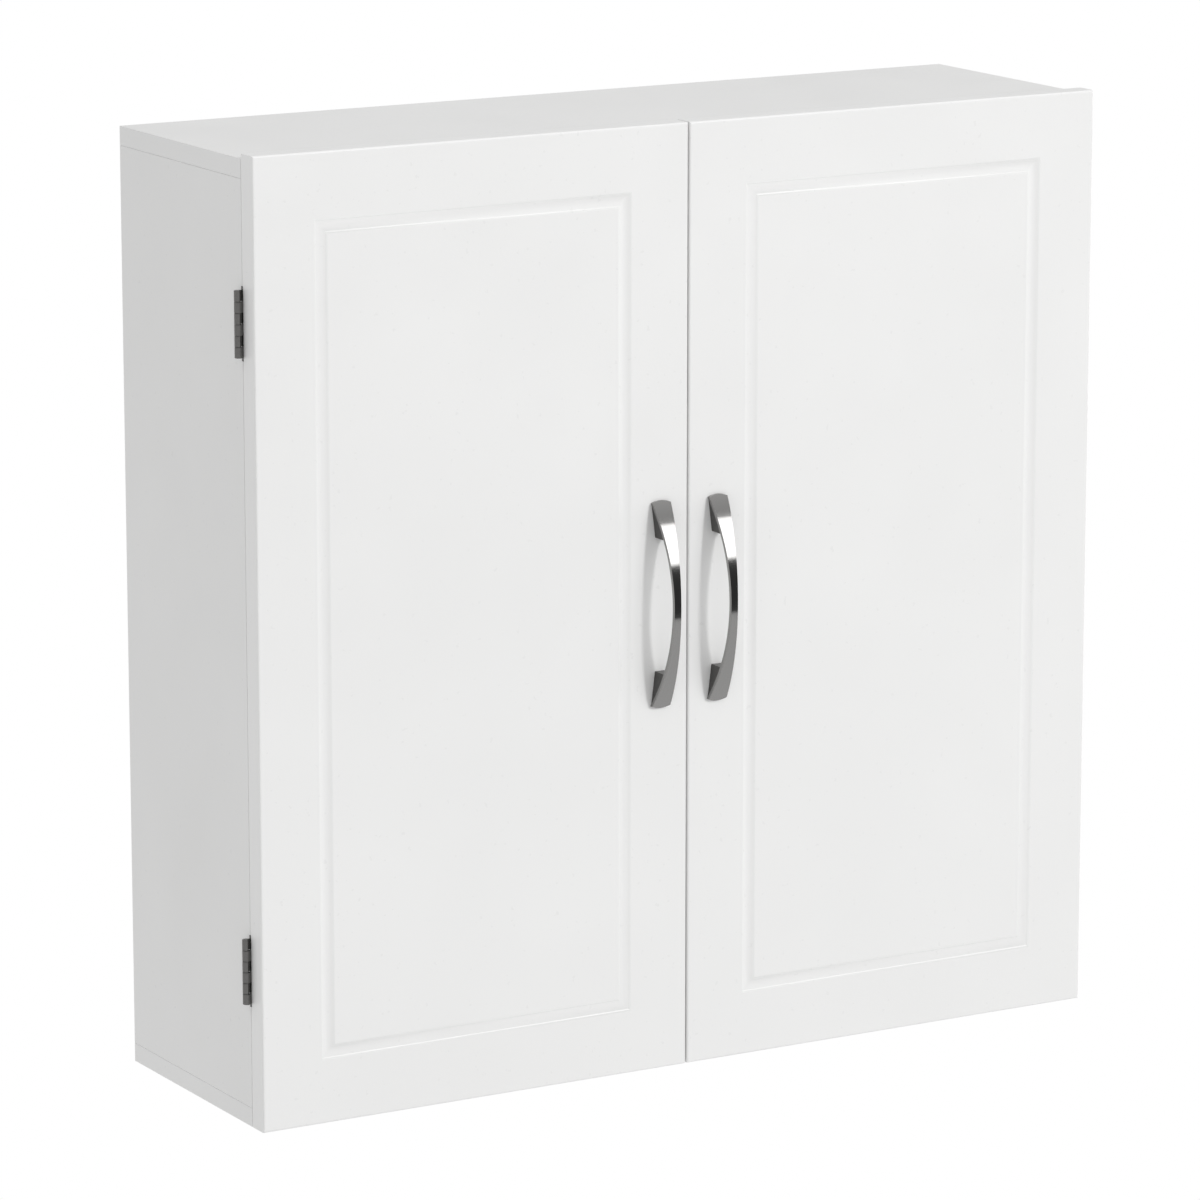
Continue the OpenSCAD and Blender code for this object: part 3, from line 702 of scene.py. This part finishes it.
for side in ("left", "right"):
    low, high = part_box(side + "_door")
    door = block(side + "_door_panel", low, high)
    door.data.materials.append(door_white)
    choose_edges(door, lambda middle, run: middle.y < low.y + 1e-5)
    bpy.ops.mesh.bevel(offset=face_edge_r, segments=6, affect="EDGES")
    done_editing()
    ease(door, back_edge_r, sharper_than=50)
    choose(door, lambda face: face.normal.y < -0.999 and face.calc_area() > 0.01)
    bpy.ops.mesh.inset(thickness=groove_in - face_edge_r, depth=0)
    for step in range(groove_steps):
        drop = sunk((step + 1) / groove_steps) - sunk(step / groove_steps)
        bpy.ops.mesh.inset(thickness=groove_w / groove_steps, depth=-drop)
    done_editing()
    for level in ("upper", "lower"):
        let_in(door, f"{side}_{level}_hinge_door_leaf", -1)
    bore(door, side + "_door_hinge_screws", inside_board, diameter=leaf_pilot_d)
    bore(door, side + "_handle_screws", inside_board, diameter=handle_hole_d)
    bore(door, side + "_strike_screw", inside_board, diameter=strike_hole_d)
    hand_over(door, side + "_door", "white_lacquer", side + "_door")


# ---- Strike plates ----
# A flat tab of zinc plated steel with rounded corners, for the catch's magnet to pull on. One
# countersunk screw holds it to the back of each door.
def countersunk(plate, centre, way, hole_d, head_d, thick):
    """Cuts a countersunk hole. way is the direction that the head's face looks, along Y."""
    bpy.ops.object.select_all(action="DESELECT")
    bpy.ops.mesh.primitive_cone_add(
        vertices=32, radius1=hole_d / 2 - sink_past, radius2=head_d / 2 + sink_past,
        depth=thick + 2 * sink_past,
        location=Vector(centre) - Vector((0, way * thick / 2, 0)), rotation=(-way * math.pi / 2, 0, 0))
    sink = bpy.context.object
    bpy.ops.object.transform_apply(location=True, rotation=True, scale=True)
    combine(plate, sink, "DIFFERENCE")
    start = Vector(centre) - Vector((0, 2 * thick, 0))
    combine(plate, bar("way", start, "Y", 4 * thick, hole_d, sides=28), "DIFFERENCE")


sink_past = 0.0001            # how far a countersink's cutter runs past both faces
strike_corner_r = 0.002
strike_sink_d = 0.0057
strike_head = [(0.0028, 0.0), (0.0015, -0.0012)]
for side in ("left", "right"):
    low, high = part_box(side + "_strike_plate")
    strike = block(side + "_strike_tab", low, high)
    choose_edges(strike, lambda middle, run: abs(run.y) > 0.9)
    bpy.ops.mesh.bevel(offset=strike_corner_r, segments=6, affect="EDGES")
    done_editing()
    ease(strike, pressed_edge, steps=2)
    middle = (low + high) / 2
    head_at = (middle.x, high.y, middle.z)
    countersunk(strike, head_at, 1, strike_hole_d, strike_sink_d, high.y - low.y)
    strike.data.materials.clear()
    strike.data.materials.append(zinc)
    hand_over(strike, side + "_door", "zinc_plate", side + "_strike_plate")
    screw_row(
        side + "_strike_fixing", side + "_strike_screw", side + "_door", (0, -1, 0), "zinc_plate",
        length=0.012, thread_d=0.003, head=strike_head, material=zinc, slot_w=0.0032)


# ---- Hinges ----
# Two knuckle hinges on each side, pressed from steel strip and plated in dark nickel. A leaf lies
# in a pocket in each board, and its strip is rolled round the pin, with a gap where the roll ends.
def dark_nickel():
    made, tree, shader, place = new_finish("dark_nickel", Metallic=1.0)
    patches = cloudy(tree, place, 900, 0.35, 0.7)
    coloured(tree, shader, patches, (0.19, 0.187, 0.183), (0.13, 0.128, 0.125))
    gloss = add(tree, "MapRange", {"Value": patches, "To Min": 0.2, "To Max": 0.3})
    tree.links.new(gloss.outputs["Result"], shader.inputs["Roughness"])
    rolled = cloudy(tree, stretched(tree, place, (900, 900, 9000)), 1.0)
    worked(tree, shader, rolled, 0.000008)
    return made


hinge_metal = dark_nickel()
barrel_d = 0.005
barrel_len = 0.041
knuckles = 6
knuckle_play = 0.00025
knuckle_pitch = barrel_len / knuckles
hinge_pin_d = 0.003
pin_fit = 0.0001
pin_dome = 0.0006
knuckle_edge = 0.00018
web_into_leaf = 0.0005
hinge_gap = 0.0005            # between the two strips
roll_gap_in = -0.0003         # where the roll ends, from the pin's middle towards the leaf
leaf_sink_d = 0.0048
leaf_corner_r = 0.0015
leaf_edge = 0.0001
leaf_head = [(0.0024, 0.0), (0.0013, -0.0010)]


def hinge_leaf(name, node, first, behind):
    """A leaf and its knuckles. first is 0 where the top knuckle is its own, and behind is 1 where
    its strip lies behind the pin, on the carcass, or -1 where it lies before it, on the door."""
    low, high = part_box(node)
    inwards = 1 if low.x < 0 else -1
    centre = Vector((low.x if inwards > 0 else high.x, low.y, (low.z + high.z) / 2))
    centre += Vector((inwards, 1, 0)) * barrel_d / 2
    free_end = high.x if inwards > 0 else low.x
    root = math.copysign(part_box("top_panel")[1].x, centre.x)
    free_face = centre.y + behind * hinge_gap / 2
    ys = sorted((free_face, free_face + behind * leaf_t))
    xs = sorted((root, free_end))
    leaf = block(name, Vector((xs[0], ys[0], low.z)), Vector((xs[1], ys[1], high.z)))
    choose_edges(leaf, lambda middle, run: abs(run.y) > 0.9 and abs(middle.x - free_end) < 1e-4)
    bpy.ops.mesh.bevel(offset=leaf_corner_r, segments=5, affect="EDGES")
    done_editing()
    ease(leaf, leaf_edge, steps=2)
    for place in range(first, knuckles, 2):
        base = centre.z + barrel_len / 2 - (place + 1) * knuckle_pitch + knuckle_play / 2
        tall = knuckle_pitch - knuckle_play
        roll = bar("roll", (centre.x, centre.y, base), "Z", tall, barrel_d, sides=48)
        ease(roll, knuckle_edge, steps=2)
        web_xs = sorted((centre.x, root + inwards * web_into_leaf))
        web = block("web", Vector((web_xs[0], ys[0], base)), Vector((web_xs[1], ys[1], base + tall)))
        combine(roll, web, "UNION")
        gap_xs = sorted((centre.x + inwards * roll_gap_in, root))
        gap_ys = sorted((centre.y - behind * barrel_d, free_face))
        gap_low = Vector((gap_xs[0], gap_ys[0], base - knuckle_play / 2))
        gap_high = Vector((gap_xs[1], gap_ys[1], base + tall + knuckle_play / 2))
        combine(roll, block("gap", gap_low, gap_high), "DIFFERENCE")
        combine(leaf, roll, "UNION")
    pin_way = bar("pin way", (centre.x, centre.y, low.z), "Z", high.z - low.z, hinge_pin_d + pin_fit)
    combine(leaf, pin_way, "DIFFERENCE")
    screws = "frame_hinge_screws" if behind > 0 else name.split("_")[0] + "_door_hinge_screws"
    for screw_low, screw_high in solids_in(screws):
        if meet((low, high), (screw_low, screw_high)):
            at = (screw_low + screw_high) / 2
            countersunk(leaf, (at.x, free_face, at.z), -behind, leaf_screw_d, leaf_sink_d, leaf_t)
    leaf.data.materials.clear()
    leaf.data.materials.append(hinge_metal)
    return leaf


for side in ("left", "right"):
    for kind, first, behind, body in (("frame", 0, 1, "carcass"), ("door", 1, -1, side + "_door")):
        nodes = [f"{side}_{level}_hinge_{kind}_leaf" for level in ("upper", "lower")]
        names = [f"{side}_{level}_{kind}_hinge_strip" for level in ("upper", "lower")]
        upper = hinge_leaf(names[0], nodes[0], first, behind)
        lower = copy_to(upper, names[1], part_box(nodes[1])[0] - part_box(nodes[0])[0])
        hand_over(upper, body, "dark_nickel", nodes[0])
        hand_over(lower, body, "dark_nickel", nodes[1])
    for level in ("upper", "lower"):
        node = f"{side}_{level}_hinge_pin"
        low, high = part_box(node)
        middle = (low + high) / 2
        foot_at = (middle.x, middle.y, low.z)
        pin = bar(f"{side}_{level}_steel_pin", foot_at, "Z", high.z - low.z, hinge_pin_d, sides=48)
        pin.data.materials.append(hinge_metal)
        ease(pin, pin_dome, steps=4)
        hand_over(pin, "carcass", "dark_nickel", node)
    screw_row(
        side + "_door_leaf_screw", side + "_door_hinge_screws", side + "_door", (0, -1, 0), "dark_nickel",
        length=0.011, thread_d=leaf_screw_d, head=leaf_head,
        material=hinge_metal, slot_w=0.0026)
screw_row(
    "frame_leaf_screw", "frame_hinge_screws", "carcass", (0, 1, 0), "dark_nickel",
    length=0.011, thread_d=leaf_screw_d, head=leaf_head, material=hinge_metal, slot_w=0.0026)


# ---- Handles ----
# A zinc bow on two feet, cast in one, polished and plated in bright nickel: wide at its tips,
# narrow at its waist, with crisp edges. Two machine screws hold it through the door.
def bright_nickel():
    made, tree, shader, place = new_finish("bright_nickel", Metallic=1.0)
    lines = cloudy(tree, stretched(tree, place, (2600, 2600, 30)), 1.0, 0.3, 0.7)
    coloured(tree, shader, lines, (0.31, 0.307, 0.302), (0.285, 0.282, 0.277))
    gloss = add(tree, "MapRange", {"Value": lines, "To Min": 0.09, "To Max": 0.13})
    tree.links.new(gloss.outputs["Result"], shader.inputs["Roughness"])
    worked(tree, shader, lines, 0.0000006)
    return made


def shaded_foot_nickel():
    """The same plating on the feet, rougher, with its colour darkened as painted shade for the shade they
    stand in by the door.
    """
    made, tree, shader, place = new_finish("shaded_foot_nickel", Metallic=1.0)
    grains = cloudy(tree, place, 1800, 0.3, 0.7)
    # Painted shade: the feet's colour is kept far darker than the bow's, to stand for the shade between
    # bow and door.
    coloured(tree, shader, grains, (0.15, 0.148, 0.145), (0.10, 0.098, 0.096))
    gloss = add(tree, "MapRange", {"Value": grains, "To Min": 0.3, "To Max": 0.45})
    tree.links.new(gloss.outputs["Result"], shader.inputs["Roughness"])
    worked(tree, shader, grains, 0.00001)
    return made


bright = bright_nickel()
foot_shade_metal = shaded_foot_nickel()
bow_t = 0.0024
bow_tip_t = 0.0015
tip_r = 0.016
tip_w = 0.0134
waist_w = 0.0048
foot_top_w = 0.012
foot_end_w = 0.0066
foot_from = 0.0425
foot_to = 0.064
handle_edge = 0.0003
handle_screw_d = 0.004
handle_bore_deep = 0.008

low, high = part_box("left_handle")
middle = (low + high) / 2
half_len = (high.z - low.z) / 2
rise = high.y - low.y - bow_tip_t
bow_r = (half_len ** 2 + rise ** 2) / (2 * rise)
pinch = (tip_w - waist_w) / 2
waist_r = (half_len ** 2 + pinch ** 2) / (2 * pinch)
bow_centre = Vector((middle.x, low.y + bow_r, middle.z))
sweep = math.asin((half_len + clear) / (bow_r - bow_t))
bow_steps = 96
front_y = low.y - clear

bpy.ops.object.select_all(action="DESELECT")
start = Vector((0, -math.cos(sweep), -math.sin(sweep))) * (bow_r - bow_t / 2)
bpy.ops.mesh.primitive_plane_add(size=1, location=bow_centre + start, rotation=(sweep, 0, 0))
handle = bpy.context.object
handle.name = "left_bow_handle"
handle.data.materials.append(bright)
handle.scale = (tip_w, bow_t, 1)
bpy.ops.object.transform_apply(location=True, rotation=True, scale=True)
bpy.ops.object.mode_set(mode="EDIT")
bpy.ops.mesh.select_all(action="SELECT")
bpy.ops.mesh.spin(steps=bow_steps, angle=2 * sweep, center=bow_centre, axis=(1, 0, 0))
bpy.ops.mesh.select_all(action="SELECT")
bpy.ops.mesh.normals_make_consistent(inside=False)
done_editing()
straight = Vector((tip_r, 0, half_len - tip_r))
plan_low = Vector((middle.x, front_y, middle.z)) - straight
plan_high = Vector((middle.x, high.y, middle.z)) + straight
plan = block("plan", plan_low, plan_high)
for end in (-1, 1):
    tip_at = (middle.x, front_y, middle.z + end * (half_len - tip_r))
    combine(plan, bar("tip", tip_at, "Y", high.y - front_y, 2 * tip_r, sides=192), "UNION")
combine(handle, plan, "INTERSECT")
for flank in (-1, 1):
    hollow_at = (middle.x + flank * (waist_w / 2 + waist_r), front_y, middle.z)
    hollow = bar("hollow", hollow_at, "Y", high.y - front_y + clear, 2 * waist_r, sides=720)
    combine(handle, hollow, "DIFFERENCE")
ease(handle, handle_edge, steps=3, sharper_than=35)
for end in (-1, 1):
    zs = sorted((middle.z + end * foot_from, middle.z + end * foot_to))
    foot_low = Vector((middle.x - foot_top_w / 2, low.y, zs[0]))
    foot_high = Vector((middle.x + foot_top_w / 2, high.y, zs[1]))
    foot = block("foot", foot_low, foot_high)
    # The feet take the darker nickel, which is painted shade.
    foot.data.materials.append(foot_shade_metal)
    choose(foot, lambda face: face.normal.z * end < -0.9)
    taper = foot_end_w / foot_top_w
    bpy.ops.transform.resize(value=(taper, 1, 1), center_override=(middle.x, 0, 0))
    done_editing()
    drum_at = (low.x - clear, bow_centre.y, bow_centre.z)
    drum = bar("drum", drum_at, "X", tip_w + 2 * clear, 2 * bow_r - bow_t, sides=720)
    combine(foot, drum, "INTERSECT")
    combine(handle, foot, "UNION")
for screw_low, screw_high in solids_in("left_handle_screws"):
    at = (screw_low + screw_high) / 2
    well_at = (at.x, high.y - handle_bore_deep, at.z)
    well = bar("well", well_at, "Y", handle_bore_deep + clear, handle_screw_d + pin_fit)
    combine(handle, well, "DIFFERENCE")
other = copy_to(handle, "right_bow_handle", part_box("right_handle")[0] - low)
hand_over(handle, "left_door", "satin_nickel", "left_handle")
hand_over(other, "right_door", "satin_nickel", "right_handle")
handle_head = [(0.0026, 0.0024), (0.0035, 0.0019), (0.0040, 0.0009), (0.0040, 0.0)]
for side in ("left", "right"):
    screw_row(
        side + "_handle_fixing", side + "_handle_screws", side + "_door", (0, -1, 0), "zinc_plate",
        length=0.022, thread_d=handle_screw_d, head=handle_head, material=zinc, slot_w=0.004)


# ---- Floor, light and camera ----
# A pale floor well below the cabinet, which hangs, and a plain white studio. A soft box and a small
# lamp to the right shape the doors, and a dark card below them shows in the polished handles.
floor_drop = 1.2
bpy.ops.object.select_all(action="DESELECT")
bpy.ops.mesh.primitive_plane_add(size=80, location=(0, 0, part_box("bottom_panel")[0].z - floor_drop))
floor = bpy.context.object
floor.name = "floor"
pale, pale_tree, pale_shader, _ = new_finish("pale_floor", Roughness=1.0)
pale_shader.inputs["Specular IOR Level"].default_value = 0.0
pale_shader.inputs["Base Color"].default_value = (0, 0, 0, 1)
pale_shader.inputs["Emission Color"].default_value = (1, 1, 1, 1)
# The camera sees floor and room as plain white. As light, the floor is a little dimmer, and the room
# is dim at the walls and bright above.
seen = add(pale_tree, "LightPath").outputs["Is Camera Ray"]
floor_glow = add(pale_tree, "MapRange", {"Value": seen, "To Min": 0.87, "To Max": 1.0})
pale_tree.links.new(floor_glow.outputs["Result"], pale_shader.inputs["Emission Strength"])
floor.data.materials.append(pale)

camera_far = 3.7956
aim = Vector((-0.0633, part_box("left_door")[0].y, -0.2478))
lamps_far = 4.5
card_far = 4.0
card_w = 3.2
studio_turn = 32
wall_light = 0.53
ceiling_light = 1.05


def from_front(azimuth, elevation):
    """The direction that many degrees to the right of the doors' face and above level."""
    a, e = math.radians(azimuth), math.radians(elevation)
    return Vector((math.sin(a) * math.cos(e), -math.cos(a) * math.cos(e), math.sin(e)))


def soft_lamp(name, azimuth, elevation, width, height, watts):
    """A white lamp behind a frosted panel, turned to the cabinet."""
    towards_lamp = from_front(azimuth, elevation)
    panel = bpy.data.lights.new(name, "AREA")
    panel.shape = "RECTANGLE"
    panel.size = width
    panel.size_y = height
    panel.energy = watts
    lamp = bpy.data.objects.new(name, panel)
    bpy.context.collection.objects.link(lamp)
    lamp.location = aim + towards_lamp * lamps_far
    lamp.rotation_euler = towards_lamp.to_track_quat("Z", "Y").to_euler()
    lamp.visible_camera = False


soft_lamp("soft_box", studio_turn, 24, 1.8, 1.75, 36)
soft_lamp("small_box", 25, 26, 0.45, 0.45, 54)

card_at = aim + from_front(studio_turn, 0) * card_far
card_top = card_far * math.tan(math.radians(12))
card_bottom = -card_far * math.tan(math.radians(17))
bpy.ops.mesh.primitive_plane_add(
    size=1, location=card_at + Vector((0, 0, (card_top + card_bottom) / 2)),
    rotation=(math.pi / 2, 0, math.radians(studio_turn)))
card = bpy.context.object
card.name = "dark_card"
card.scale = (card_w, card_top - card_bottom, 1)
card.visible_camera = False
felt, felt_tree, felt_shader, felt_place = new_finish("dark_felt", Roughness=1.0)
felt_mottle = cloudy(felt_tree, felt_place, 40)
coloured(felt_tree, felt_shader, felt_mottle, (0.09, 0.09, 0.09), (0.07, 0.07, 0.07))
card.data.materials.append(felt)

world = bpy.data.worlds.new("studio")
bpy.context.scene.world = world
world.use_nodes = True
sky = world.node_tree
ray = add(sky, "TexCoord").outputs["Generated"]
climb = add(sky, "SeparateXYZ", {"Vector": ray}).outputs["Z"]
room = add(sky, "MapRange", {
    "Value": climb, "From Min": 0.55, "From Max": 0.80, "To Min": wall_light, "To Max": ceiling_light})
seen = add(sky, "LightPath").outputs["Is Camera Ray"]
shown = add(sky, "MapRange", {"Value": seen, "To Min": room.outputs["Result"], "To Max": 1.0})
sky.nodes["Background"].inputs["Color"].default_value = (1, 1, 1, 1)
sky.links.new(shown.outputs["Result"], sky.nodes["Background"].inputs["Strength"])
bpy.context.scene.view_settings.view_transform = "Standard"

lens = bpy.data.cameras.new("camera")
lens.sensor_width = 36
lens.lens = 184.3
camera = bpy.data.objects.new("camera", lens)
bpy.context.collection.objects.link(camera)
ahead = Vector((0.48945, 0.84592, -0.21180)).normalized()
camera.location = aim - ahead * camera_far
camera.rotation_euler = ahead.to_track_quat("-Z", "Y").to_euler()
bpy.context.scene.camera = camera
